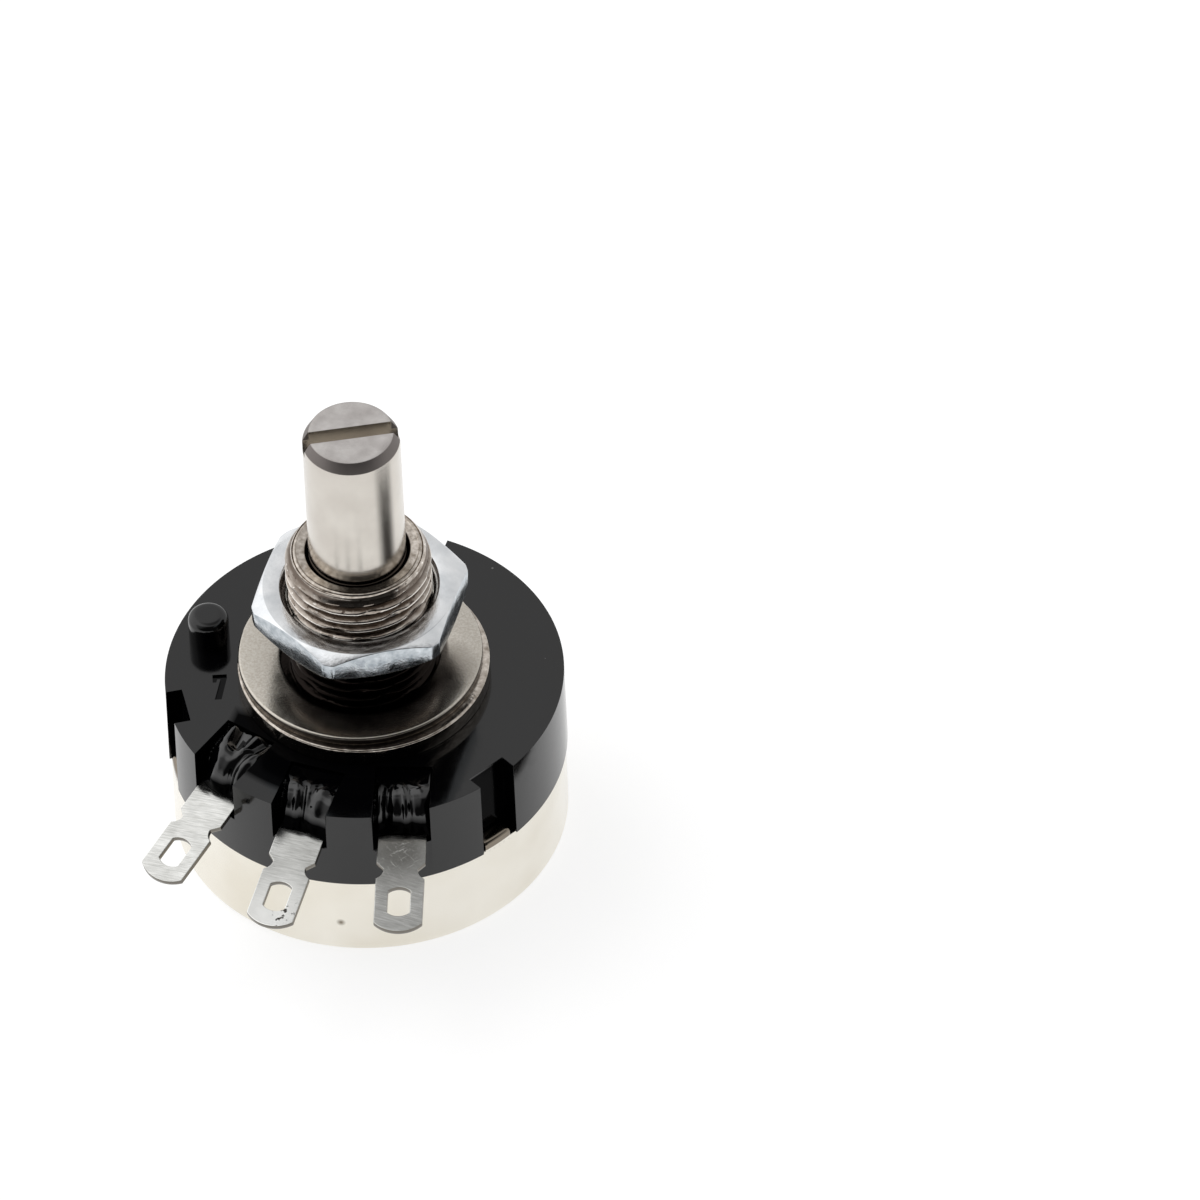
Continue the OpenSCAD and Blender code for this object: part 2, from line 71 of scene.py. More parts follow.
camera_data = bpy.data.cameras.new("photo_camera")
camera = bpy.data.objects.new("photo_camera", camera_data)
bpy.context.collection.objects.link(camera)
camera.matrix_world = Matrix((
    (cam_x.x, cam_y.x, -forward.x, place.x),
    (cam_x.y, cam_y.y, -forward.y, place.y),
    (cam_x.z, cam_y.z, -forward.z, place.z),
    (0, 0, 0, 1)))
camera_data.sensor_width = 36
camera_data.lens = 36 * distance / PHOTO_WIDTH
camera_data.clip_start = 1
camera_data.clip_end = 10
bpy.context.scene.camera = camera
print("lens, mm:", round(camera_data.lens, 1))

# %% [markdown]
# ## Sizes
# The same named heights and radii as in the measured model, in millimetres. z = 0 is the cover's
# flat back, the seam between cover and housing lies at 6.3, the front face at 12.2 and the flange's
# face, where a panel would sit, at 13.4.

# %% Heights and radii
SEAM, FACE, MOUNT = 6.3, 12.2, 13.4
CEILING = 9.35
BUSH_TOP, TIP = 23.4, 33.4
HOUSING_R, COVER_R = 12.25, 12.1
FLANGE_R = 7.75
NOTCH_TURNS = (91.35, 211.35, 331.35)
NUT_LOW, NUT_HIGH = 18.1, 20.1
THREAD_R, PITCH = 4.5, 0.75
FAN, APEX = math.radians(16.4), 10.16
FANS = (-FAN, 0.0, FAN)
ROOT_R, BEND_R, EYE_R = 8.35, 12.05, 16.2
SHEET, SLOPE = 0.4, math.radians(15)


def along(radius, fan):
    """Distance from the fan's apex, on a terminal's centre line, at which a radius is reached."""
    return APEX * math.cos(fan) + math.sqrt(radius ** 2 - (APEX * math.sin(fan)) ** 2)


def strip_frame(fan):
    """Matrix that lays X along a terminal's centre line, with the apex as origin."""
    return Matrix.Translation((0, APEX * MM, 0)) @ Matrix.Rotation(fan - math.pi / 2, 4, "Z")


print("terminal holes at", [round(along(EYE_R, fan), 2) for fan in FANS])

# %% [markdown]
# ## Ways of working
# Most parts of this object are turned on a lathe, so their shape is a profile swept round the
# shaft's axis. The profile is drawn by extruding one vertex from point to point, and the Spin
# operator turns it. Stamped and moulded parts start from an outline drawn in the same way, which is
# filled and extruded to its thickness. Rounded corners are worked into the profile itself, because
# then every edge catches the light as a real one does.

# %% Selecting, and rounding the corners of a profile
def only(piece):
    """Makes one object the selected and active one, in object mode."""
    if bpy.context.object and bpy.context.object.mode != "OBJECT":
        bpy.ops.object.mode_set(mode="OBJECT")
    bpy.ops.object.select_all(action="DESELECT")
    piece.select_set(True)
    bpy.context.view_layer.objects.active = piece
    return piece


def rounded(points, closed=True, segments=5):
    """Corner points (x, y) or (x, y, radius), in mm; a radius turns the corner into an arc."""
    result = []
    count = len(points)
    for i, point in enumerate(points):
        corner = Vector(point[:2])
        radius = point[2] if len(point) > 2 else 0
        if not radius or (not closed and i in (0, count - 1)):
            result.append(tuple(corner))
            continue
        before = (Vector(points[i - 1][:2]) - corner).normalized()
        after = (Vector(points[(i + 1) % count][:2]) - corner).normalized()
        half = before.angle(after) / 2
        reach = radius / math.tan(half)
        centre = corner + (before + after).normalized() * radius / math.sin(half)
        first = corner + before * reach - centre
        sweep = first.angle_signed(corner + after * reach - centre)
        for k in range(segments + 1):
            turned = first.copy()
            turned.rotate(Matrix.Rotation(-sweep * k / segments, 2))
            result.append(tuple(centre + turned))
    return result


# %% A chain of vertices, drawn by extruding the last one
def chain(name, points):
    """An open line through points given in metres, as a new object in edit mode."""
    bpy.ops.object.select_all(action="DESELECT")
    bpy.ops.mesh.primitive_plane_add(size=MM)
    piece = bpy.context.object
    piece.name = name
    piece.data.name = name
    bpy.ops.object.mode_set(mode="EDIT")
    bpy.ops.mesh.select_mode(type="VERT")
    bpy.ops.mesh.select_all(action="SELECT")
    bpy.ops.mesh.merge(type="CENTER")
    bpy.ops.transform.translate(value=points[0])
    for here, there in zip(points, points[1:]):
        step = Vector(there) - Vector(here)
        bpy.ops.mesh.extrude_region_move(TRANSFORM_OT_translate={"value": step})
    return piece


# %% Turned parts, and flat parts cut from sheet
def weld():
    """Selects the whole mesh and merges vertices that lie on each other."""
    bpy.ops.mesh.select_all(action="SELECT")
    bpy.ops.mesh.remove_doubles(threshold=1e-6)


def close_up():
    """Turns every face outwards and leaves edit mode."""
    bpy.ops.mesh.select_all(action="SELECT")
    bpy.ops.mesh.normals_make_consistent(inside=False)
    bpy.ops.object.mode_set(mode="OBJECT")


def lathe(name, profile, closed=True, steps=180, angle=2 * math.pi, start=0.0):
    """Turns a profile of (radius, height) in mm round Z, counter-clockwise from start. An open
    profile gets flat end caps."""
    points = list(profile) + ([profile[0]] if closed else [])
    around = Matrix.Rotation(start, 3, "Z")
    piece = chain(name, [around @ Vector((r * MM, 0, z * MM)) for r, z in points])
    weld()
    bpy.ops.mesh.spin(steps=steps, angle=-angle, center=(0, 0, 0), axis=(0, 0, 1))
    weld()
    bpy.ops.mesh.fill_holes(sides=0)
    close_up()
    return piece


def plate(name, outline, low, high):
    """A flat part with an outline of (x, y) in mm, from height low to height high in mm."""
    piece = chain(name, [Vector((x * MM, y * MM, low * MM)) for x, y in outline])
    bpy.ops.mesh.select_all(action="SELECT")
    bpy.ops.mesh.edge_face_add()
    bpy.ops.mesh.extrude_region_move(TRANSFORM_OT_translate={"value": (0, 0, (high - low) * MM)})
    close_up()
    return piece


# %% Modifiers, applied at once, and joining
def apply(piece, kind, **settings):
    """Adds a modifier with its settings and applies it."""
    only(piece)
    modifier = piece.modifiers.new(kind.lower(), kind)
    for key, value in settings.items():
        setattr(modifier, key, value)
    bpy.ops.object.modifier_apply(modifier=modifier.name)
    return piece


def soften(piece, width, angle=40, segments=3):
    """Rounds every edge sharper than angle, by width in mm."""
    return apply(piece, "BEVEL", width=width * MM, segments=segments, limit_method="ANGLE",
                 angle_limit=math.radians(angle), use_clamp_overlap=True, profile=0.5)


def cut(piece, cutter, operation="DIFFERENCE"):
    """Cuts piece with cutter, which is used up."""
    apply(piece, "BOOLEAN", object=cutter, operation=operation, solver="EXACT")
    bpy.data.objects.remove(cutter)
    return piece


def join(piece, *others):
    """Makes the others part of piece."""
    only(piece)
    for other in others:
        other.select_set(True)
    bpy.ops.object.join()
    return piece


def move(piece, matrix):
    """Moves or turns the mesh itself, so that the object stays at the origin."""
    piece.data.transform(matrix)
    piece.data.update()
    return piece


# %% Figures cut into a part
def figure(name, text, size, at, bearing, low, high):
    """A figure as a solid of (width, height) in mm, upright for a reader at a bearing."""
    bpy.ops.object.select_all(action="DESELECT")
    bpy.ops.object.text_add()
    made = bpy.context.object
    made.name = name
    made.data.body = text
    made.data.extrude = 0.5
    made.data.resolution_u = 6
    bpy.ops.object.convert(target="MESH")
    corners = [Vector(c) for c in made.bound_box]
    least = Vector([min(c[i] for c in corners) for i in range(3)])
    most = Vector([max(c[i] for c in corners) for i in range(3)])
    middle, extent = (least + most) / 2, most - least
    fit = (size[0] / extent.x, size[1] / extent.y, (high - low) / extent.z)
    scale = Matrix.Diagonal(tuple(v * MM for v in fit) + (1,))
    place = Matrix.Translation((at[0] * MM, at[1] * MM, (low + high) / 2 * MM))
    around = Matrix.Rotation(math.radians(bearing), 4, "Z")
    move(made, place @ around @ scale @ Matrix.Translation(-middle))
    only(made)
    bpy.ops.object.mode_set(mode="EDIT")
    weld()
    close_up()
    return made


# %% Hand a finished piece over
def hand_over(piece, body, slot, finish, *nodes, angle=30):
    """Smooths the piece, gives it its finish, ties it to its body and hides the measured nodes it
    replaces.
    """
    only(piece)
    piece.data.materials.clear()
    piece.data.materials.append(finish)
    bpy.ops.object.shade_smooth_by_angle(angle=math.radians(angle))
    apply(piece, "WEIGHTED_NORMAL", keep_sharp=True, weight=80)
    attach(piece, body)
    if nodes:
        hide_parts(*nodes)
    print(piece.name, "faces:", len(piece.data.polygons))
    return piece


# %% [markdown]
# ## Materials
# Every finish is procedural. Patterns are sized in millimetres on Object coordinates, so a turning
# mark or a grain has its real width on every piece. A few small functions carry the work: one
# turns a sRGB hex colour into the linear values that the shader needs, one adds a node with its
# settings and links, and the others build noise, bumps and soft-edged zones from that.

# %% Colours and nodes
def colour(code):
    """Linear RGBA of a sRGB hex colour such as #c8c2b8."""
    values = [int(code[i:i + 2], 16) / 255 for i in (1, 3, 5)]
    return [v / 12.92 if v <= 0.04045 else ((v + 0.055) / 1.055) ** 2.4 for v in values] + [1.0]


def add(tree, kind, links=None, **settings):
    """Adds a node; links maps an input's name or number to a value or to another socket."""
    made = tree.nodes.new(kind)
    for key, value in settings.items():
        setattr(made, key, value)
    for key, value in (links or {}).items():
        if isinstance(value, bpy.types.NodeSocket):
            tree.links.new(value, made.inputs[key])
        else:
            made.inputs[key].default_value = value
    return made


def calc(tree, operation, *values, **settings):
    """A Math node on sockets or numbers, in their order."""
    made = add(tree, "ShaderNodeMath", dict(enumerate(values)), operation=operation, **settings)
    return made.outputs[0]


def part_of(tree, vector, axis):
    """The X, Y or Z of a vector."""
    return add(tree, "ShaderNodeSeparateXYZ", {0: vector}).outputs[axis]


def feed(shader, name, value):
    """Links a socket to one of the shader's inputs."""
    shader.id_data.links.new(value, shader.inputs[name])


def material(name, base, metallic, roughness):
    """A new material with its Principled shader and its object coordinates, both to build on."""
    made = bpy.data.materials.new(name)
    made.use_nodes = True
    tree = made.node_tree
    shader = tree.nodes["Principled BSDF"]
    shader.inputs["Base Color"].default_value = colour(base)
    shader.inputs["Metallic"].default_value = metallic
    shader.inputs["Roughness"].default_value = roughness
    place = add(tree, "ShaderNodeTexCoord").outputs["Object"]
    return made, tree, shader, place


def per_mm(lines):
    """Texture scale that gives so many features to a millimetre."""
    return lines / MM


def uneven(tree, place, scale, low, high, detail=3.0, stretch=(1, 1, 1)):
    """A noise of so many features per mm that runs from low to high, stretched where asked."""
    spot = add(tree, "ShaderNodeMapping", {"Vector": place, "Scale": stretch}).outputs[0]
    noise = add(tree, "ShaderNodeTexNoise",
                {"Vector": spot, "Scale": per_mm(scale), "Detail": detail})
    return add(tree, "ShaderNodeMapRange", {"Value": noise.outputs[0], "From Min": 0.3,
               "From Max": 0.7, "To Min": low, "To Max": high}).outputs[0]


def bump(tree, shader, height, depth, below=None):
    """Feeds a height in mm to the shader's normal; below is a bump to build on."""
    links = {"Height": height, "Distance": depth * MM, "Strength": 1.0}
    if below is not None:
        links["Normal"] = below
    made = add(tree, "ShaderNodeBump", links).outputs[0]
    feed(shader, "Normal", made)
    return made


def between(tree, value, low, high):
    """0 below low, 1 above high, for a socket."""
    return add(tree, "ShaderNodeMapRange", {"Value": value, "From Min": low,
               "From Max": high}).outputs[0]


def zone(tree, value, low, high):
    """As between, for a length, with the limits in mm."""
    return between(tree, value, low * MM, high * MM)


def blend(tree, shader, factor, first, second):
    """Mixes two colours (hex codes or sockets) by factor into the shader's base colour."""
    pair = [colour(c) if isinstance(c, str) else c for c in (first, second)]
    mixed = add(tree, "ShaderNodeMix", {0: factor, 6: pair[0], 7: pair[1]}, data_type="RGBA")
    feed(shader, "Base Color", mixed.outputs[2])
    return mixed.outputs[2]


def facing(tree):
    """How far a face looks up: 1 straight up, -1 straight down."""
    return part_of(tree, add(tree, "ShaderNodeTexCoord").outputs["Normal"], "Z")


def face_up(tree):
    """1 on faces that look up or down, 0 on the sheared or cut edges between them."""
    return between(tree, calc(tree, "ABSOLUTE", facing(tree)), 0.35, 0.7)


def radius_of(tree, place):
    """Distance from the shaft's axis, in metres."""
    flat = add(tree, "ShaderNodeVectorMath", {0: place, 1: (1, 1, 0)}, operation="MULTIPLY")
    return add(tree, "ShaderNodeVectorMath", {0: flat.outputs[0]},
               operation="LENGTH").outputs["Value"]


def around_point(tree, place, point, near, far):
    """0 within near mm of a point given in mm, 1 beyond far mm."""
    off = add(tree, "ShaderNodeVectorMath", {0: place, 1: [v * MM for v in point]},
              operation="DISTANCE").outputs["Value"]
    return zone(tree, off, near, far)


def specks(tree, place, scale, size, share):
    """1 on small round specks: so many cells per mm, the size in cells, a share of the cells."""
    cells = add(tree, "ShaderNodeTexVoronoi", {"Vector": place, "Scale": per_mm(scale)})
    near = calc(tree, "LESS_THAN", cells.outputs["Distance"], size)
    kept = calc(tree, "LESS_THAN", part_of(tree, cells.outputs["Color"], "X"), share)
    return calc(tree, "MULTIPLY", near, kept)


# %% [markdown]
# ### Nickel plate on turned steel and brass
# The shaft is drawn bar, ground and nickel-plated: a warm, satin metal whose grinding marks run
# round it. They are fine rings along Z that only a very small bump shows. The end face is greyer
# and smudged, the chamfer round it is rough, dull and painted darker as shade, and painted shade
# darkens the shaft's foot inside the bore. The bushing has the same plate on brass, grimy and
# scarred; painted shade darkens the thread's valleys and makes it nearly black below the nut and
# in the mouth of the bore, and a painted highlight brightens the crests. Its flange and its end
# face are only scuffed.

# %% Shaft and bushing finishes
def nickel_shaft():
    made, tree, shader, place = material("ground_nickel_plate", "#d0ccc5", 1.0, 0.2)
    height = part_of(tree, place, "Z")
    # Two soft tones on the bar, and a greyer, smudged end face.
    blot = uneven(tree, place, 0.45, 0.0, 1.0, 4.0)
    plate_tone = blend(tree, shader, blot, "#cbc5bd", "#d6d1c9")
    smudge = uneven(tree, place, 0.9, 0.0, 1.0, 5.0)
    tip_tone = blend(tree, shader, smudge, "#b2adaa", "#cdc9c6")
    tip = zone(tree, height, TIP - 0.04, TIP - 0.02)
    whole = blend(tree, shader, tip, plate_tone, tip_tone)
    # The chamfer is dull and painted darker as shade, and painted shade darkens the shaft where it
    # goes into the bushing.
    high = zone(tree, height, TIP - 0.66, TIP - 0.62)
    wide = zone(tree, radius_of(tree, place), 2.58, 2.64)
    chamfer = calc(tree, "MULTIPLY", high, wide)
    chamfer_painted_dark = blend(tree, shader, chamfer, whole, "#7d7774")
    # Painted shade on the shaft's foot, inside the bushing's bore.
    painted_foot_shade = zone(tree, height, BUSH_TOP + 0.06, BUSH_TOP - 0.1)
    blend(tree, shader, painted_foot_shade, chamfer_painted_dark, "#3c352f")
    rough = uneven(tree, place, 0.8, 0.17, 0.22, 2.0, (1, 1, 0.4))
    feed(shader, "Roughness", calc(tree, "MULTIPLY_ADD", chamfer, 0.30, rough))
    rings = uneven(tree, place, 1.0, 0.0, 1.0, 4.0, (0.05, 0.05, 14))
    bump(tree, shader, rings, 0.0010)
    return made


def nickel_bushing():
    made, tree, shader, place = material("bright_nickel_plate", "#a79c90", 1.0, 0.16)
    height = part_of(tree, place, "Z")
    reach = radius_of(tree, place)
    # Uneven grime with bright and dark scars.
    grime = uneven(tree, place, 1.6, 0.0, 1.0, 5.0, (1, 1, 2.5))
    worn = blend(tree, shader, grime, "#8e8277", "#d0c8bf")
    scar = uneven(tree, place, 2.6, 0.0, 1.0, 6.0, (1, 1, 2.0))
    worn = blend(tree, shader, between(tree, scar, 0.86, 0.92), worn, "#f4efe8")
    worn = blend(tree, shader, between(tree, scar, 0.16, 0.10), worn, "#453a32")
    # Painted shade in the thread's valleys and a painted highlight on its crests; the thread ends
    # at 22.9 mm.
    end = zone(tree, height, 22.9, 22.95)
    ridge = calc(tree, "MAXIMUM", end, zone(tree, reach, 4.2, 4.49))
    worn = blend(tree, shader, ridge, "#655b53", worn)
    # Painted highlight on the thread's crests.
    worn = blend(tree, shader, zone(tree, reach, 4.45, 4.5), worn, "#f0eae3")
    # Painted shade, nearly black, below the nut, but not on the flange's outer part.
    flange = calc(tree, "LESS_THAN", height, 13.5 * MM)
    outer = calc(tree, "MULTIPLY", flange, zone(tree, reach, 5.5, 5.7))
    clean = calc(tree, "MAXIMUM", zone(tree, height, 16.6, 18.6), outer)
    shaded_below_nut = blend(tree, shader, clean, "#1c1816", worn)
    # The flange and the end face are scuffed, and painted shade darkens the mouth of the bore.
    turned = calc(tree, "MAXIMUM", outer, zone(tree, height, 23.05, 23.1))
    scuffed = blend(tree, shader, scar, "#8f857a", "#d4ccc3")
    plated = blend(tree, shader, turned, shaded_below_nut, scuffed)
    # Painted shade in the mouth of the bore.
    blend(tree, shader, zone(tree, reach, 3.30, 3.22), plated, "#3a322c")
    feed(shader, "Roughness", uneven(tree, place, 2.0, 0.08, 0.20, 3.0))
    nicks = uneven(tree, place, 3.0, 0.0, 1.0, 4.0, (1, 1, 1.6))
    bump(tree, shader, nicks, 0.006)
    return made


# %% [markdown]
# ### Zinc, satin steel and tin
# The nut is bright zinc: a bluish, soft metal whose edges are slightly battered; its face is
# painted brighter and its flats greyer, as painted light and shade, and its underside painted black
# as shade.
# The washer is stamped steel with a satin nickel flash, tumbled so that its grain has no direction,
# with painted shade next to the bushing and a painted shadow of the nut on one side. The terminals
# are stamped from tinned brass sheet: fine grain along the strip, painted shade on one root next to
# the resin, scratches round that root, and a painted highlight on the middle one's tip, which has a
# crust of old solder. The cover is drawn sheet, clean and mirror-bright.

# %% Nut, washer, terminal and cover finishes
# Where painted shade darkens terminal 3's root.
ROOT_SHADE_SPOT = (6.2, -11.2, 9.75)
# Where a painted highlight brightens terminal 2's tip.
TIP_HIGHLIGHT_SPOT = (0.0, -17.6, 8.4)
CRUSTED = (0.9, -17.4, 8.4)
# Where the nut's painted shadow falls on the washer.
NUT_SHADOW_SPOT = (4.8, 0.2, 13.9)
SPECK = (COVER_R * math.cos(math.radians(-79)), COVER_R * math.sin(math.radians(-79)), 2.7)


def zinc():
    made, tree, shader, place = material("bright_zinc_plate", "#ccd1d8", 1.0, 0.2)
    # A face painted bright and flats painted greyer, as painted light and shade, and an underside
    # painted nearly black as shade.
    blot = uneven(tree, place, 0.5, 0.0, 1.0, 4.0)
    face = blend(tree, shader, blot, "#cdd0d3", "#f0f1f2")
    mottle = uneven(tree, place, 1.8, 0.0, 1.0, 6.0)
    shaded_flats = blend(tree, shader, mottle, "#a0a8ae", "#d6dbdf")
    lit_face_and_flats = blend(tree, shader, face_up(tree), shaded_flats, face)
    # Painted shade: the nut's underside is painted nearly black.
    blend(tree, shader, between(tree, facing(tree), -0.8, -0.5), "#2b2a29", lit_face_and_flats)
    feed(shader, "Roughness", uneven(tree, place, 1.2, 0.13, 0.24, 3.0))
    dents = uneven(tree, place, 0.7, 0.0, 1.0, 1.0)
    pits = uneven(tree, place, 5.0, 0.0, 1.0, 4.0)
    bump(tree, shader, pits, 0.0035, bump(tree, shader, dents, 0.006))
    return made


def satin_steel():
    made, tree, shader, place = material("tumbled_satin_steel", "#c2bcb2", 1.0, 0.22)
    grain = uneven(tree, place, 7.0, 0.0, 1.0, 3.0)
    # Dark sheared edges, painted shade in a ring next to the bushing and a painted shadow of the
    # nut in one patch.
    face = blend(tree, shader, grain, "#b9b2a7", "#cbc6bd")
    outside = blend(tree, shader, face_up(tree), "#4d4843", face)
    inside = zone(tree, radius_of(tree, place), 5.1, 5.3)
    bore_shaded = blend(tree, shader, inside, "#2b2724", outside)
    blend(tree, shader, around_point(tree, place, NUT_SHADOW_SPOT, 0.8, 2.8), "#7a736b", bore_shaded)
    feed(shader, "Roughness", uneven(tree, place, 0.8, 0.18, 0.26, 3.0))
    bump(tree, shader, grain, 0.0015)
    return made


def tinned_brass():
    made, tree, shader, place = material("tinned_brass_sheet", "#c4c4c0", 1.0, 0.2)
    grain = uneven(tree, place, 1.0, 0.0, 1.0, 5.0, (1.0, 12.0, 3.0))
    cloud = uneven(tree, place, 0.6, 0.0, 1.0, 3.0)
    # Grain and clouds, and painted shade on terminal 3's root, next to the resin.
    tone = calc(tree, "MULTIPLY_ADD", cloud, 0.7, grain)
    base = blend(tree, shader, between(tree, tone, 0.0, 1.7), "#b4b4b0", "#ededea")
    outside_root_shade = around_point(tree, place, ROOT_SHADE_SPOT, 0.8, 3.2)
    base = blend(tree, shader, outside_root_shade, "#8d8c88", base)
    # Scratches in two directions, only round terminal 3's shaded root.
    for bearing in (35, -50):
        aside = add(tree, "ShaderNodeMapping", {"Vector": place,
                    "Rotation": (0, 0, math.radians(bearing))}).outputs[0]
        line = uneven(tree, aside, 2.0, 0.0, 1.0, 3.0, (0.6, 12.0, 3.0))
        deep = calc(tree, "SUBTRACT", between(tree, line, 0.80, 0.95), outside_root_shade, use_clamp=True)
        base = blend(tree, shader, deep, base, "#d2d2ce")
    # A painted highlight and a brown crust of solder on terminal 2's tip, and dark cut edges.
    tip_highlight = around_point(tree, place, TIP_HIGHLIGHT_SPOT, 0.6, 3.4)
    base = blend(tree, shader, tip_highlight, "#fbfbf8", base)
    crust = uneven(tree, place, 3.2, 0.0, 1.0, 4.0)
    away = around_point(tree, place, CRUSTED, 0.3, 1.5)
    crusted = calc(tree, "MULTIPLY_ADD", away, 0.55, crust)
    stained = blend(tree, shader, between(tree, crusted, 0.30, 0.40), "#4f4c48", base)
    blend(tree, shader, face_up(tree), "#77736c", stained)
    feed(shader, "Roughness", uneven(tree, place, 2.0, 0.15, 0.26, 3.0))
    bump(tree, shader, grain, 0.0022)
    return made


def cover_nickel():
    made, tree, shader, place = material("drawn_nickel_plate", "#ddd8cc", 1.0, 0.16)
    # Clean plate with one speck of dirt, and duller tabs.
    cloud = uneven(tree, place, 0.15, 0.0, 1.0, 3.0)
    clean = blend(tree, shader, cloud, "#e4ded0", "#f0ece2")
    off = around_point(tree, place, SPECK, 0.04, 0.32)
    spotted = blend(tree, shader, off, "#857c6e", clean)
    crimp = zone(tree, part_of(tree, place, "Z"), SEAM + 0.02, SEAM + 0.08)
    blend(tree, shader, crimp, spotted, "#857c70")
    feed(shader, "Roughness", uneven(tree, place, 0.7, 0.12, 0.22, 3.0, (1, 1, 0.3)))
    waves = uneven(tree, place, 0.25, 0.0, 1.0, 2.0)
    bump(tree, shader, waves, 0.01)
    return made


# %% [markdown]
# ### Black mouldings
# The housing is a black phenolic moulding: dark, hard and glossy on its front face and its rim,
# which came from a polished mould; in its recesses and in front of the flange its sheen is taken
# off as painted shade. A few grey specks of filler show. The resin that seals the terminals was
# poured as a liquid and cured with a wrinkled skin; its sheen is kept on its outer top only and
# taken off elsewhere as painted shade.

# %% Housing and resin finishes
def phenolic():
    made, tree, shader, place = material("black_phenolic", "#030304", 0.0, 0.1)
    feed(shader, "Roughness", uneven(tree, place, 1.2, 0.08, 0.13, 4.0))
    blend(tree, shader, specks(tree, place, 0.7, 0.05, 0.2), "#030304", "#5d5d5c")
    reach = radius_of(tree, place)
    # Sheen on the front face and the rim; painted shade takes it off in the recesses and just in
    # front of the flange.
    front = zone(tree, part_of(tree, place, "Z"), FACE - 0.16, FACE - 0.1)
    rim = zone(tree, reach, HOUSING_R - 0.14, HOUSING_R - 0.1)
    polished = calc(tree, "MAXIMUM", front, rim)
    behind = zone(tree, part_of(tree, place, "Y"), -5.6, -4.9)
    aside = calc(tree, "ABSOLUTE", part_of(tree, place, "X"))
    beside = calc(tree, "MAXIMUM", behind, zone(tree, aside, 6.2, 6.7))
    clear = calc(tree, "MAXIMUM", beside, zone(tree, reach, 10.7, 11.2))
    face_sheen_unshaded = calc(tree, "MULTIPLY", polished, clear)
    feed(shader, "Specular IOR Level", calc(tree, "MULTIPLY_ADD", face_sheen_unshaded, 0.5, 0.02))
    bump(tree, shader, uneven(tree, place, 0.8, 0.0, 1.0, 2.0), 0.0015)
    return made


def resin():
    made, tree, shader, place = material("black_sealing_resin", "#020203", 0.0, 0.06)
    # Sheen on top, at each seal's outer end and all along the first seal; elsewhere painted shade
    # takes it off.
    top = zone(tree, part_of(tree, place, "Z"), 10.55, 10.95)
    outer = zone(tree, radius_of(tree, place), 9.4, 10.2)
    first = zone(tree, part_of(tree, place, "X"), -3.2, -3.7)
    resin_sheen_unshaded = calc(tree, "MULTIPLY", top, calc(tree, "MAXIMUM", outer, first))
    feed(shader, "Specular IOR Level", calc(tree, "MULTIPLY_ADD", resin_sheen_unshaded, 0.75, 0.01))
    bump(tree, shader, uneven(tree, place, 1.5, 0.0, 1.0, 1.0), 0.005)
    return made


# %% [markdown]
# ### Inner pieces
# Nothing inside shows from outside, but the measured solids stay and get their own finishes, so
# that a cut-away view reads well: paper laminate, carbon and silver ink, brass, spring steel and a
# cream moulding.

# %% Finishes of the inner pieces
def plain(name, base, metallic, roughness, grain):
    """A simple finish with a grain of so many features per millimetre."""
    made, tree, shader, place = material(name, base, metallic, roughness)
    rough = uneven(tree, place, grain, roughness * 0.8, min(1, roughness * 1.2))
    feed(shader, "Roughness", rough)
    bump(tree, shader, uneven(tree, place, grain, 0.0, 1.0), 0.004)
    return made


INNER = {
    "element_wafer": plain("paper_laminate", "#7a4a24", 0.0, 0.6, 3.0),
    "resistive_track": plain("carbon_ink", "#2e2a28", 0.0, 0.7, 8.0),
    "collector_ring": plain("silver_ink", "#c8b89a", 1.0, 0.35, 5.0),
    "thrust_washer": satin_steel(),
    "retaining_ring": plain("blued_spring_steel", "#55585c", 1.0, 0.35, 3.0),
    "rotor": plain("cream_moulding", "#d9d4c4", 0.0, 0.45, 2.0),
    "wiper_spring": plain("phosphor_bronze", "#c98f5a", 1.0, 0.3, 4.0),
    "track_brush": plain("brush_carbon", "#3a3735", 0.0, 0.5, 6.0),
}
INNER["collector_brush"] = INNER["track_brush"]
rivet_brass = plain("rivet_brass", "#b99b62", 1.0, 0.3, 4.0)
for number in (1, 2, 3):
    INNER["terminal_rivet_%d" % number] = rivet_brass
for name, finish in INNER.items():
    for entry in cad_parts[name].material_slots:
        entry.material = finish
print("inner pieces dressed:", len(INNER))

# %% [markdown]
# ## Shaft
# A 6 mm bar with a chamfered tip and a screwdriver slot. It is turned first, with flat caps, and
# the slot is then milled by a Boolean with a thin box. A narrow bevel afterwards leaves the tiny
# burr-free edge that draws a bright line round the slot.

# %% Turn the shaft and mill its slot
def make_shaft():
    profile = rounded([
        (2.4, 3.6), (2.4, 7.4), (3, 7.4), (3, 8.1), (2.4, 8.1), (2.4, 8.65), (3, 8.65),
        (3, 23.05), (2.9, 23.08), (2.9, 23.26), (3, 23.3), (3, TIP - 0.66, 0.05),
        (2.63, TIP, 0.05), (2.3, TIP)], closed=False, segments=4)
    shaft = lathe("shaft_piece", profile, closed=False, steps=192)
    slot_length, slot_width, slot_depth, slot_turn = 8, 1.0, 1.2, math.radians(28)
    bpy.ops.object.select_all(action="DESELECT")
    middle = TIP - slot_depth + 1
    bpy.ops.mesh.primitive_cube_add(size=1, location=(0, 0, middle * MM))
    slot = bpy.context.object
    slot.scale = (slot_length * MM, slot_width * MM, 2 * MM)
    slot.rotation_euler = (0, 0, slot_turn)
    cut(shaft, slot)
    return soften(shaft, 0.035, angle=50, segments=2)


hand_over(make_shaft(), "rotor_group", "shaft_nickel", nickel_shaft(), "shaft", angle=25)

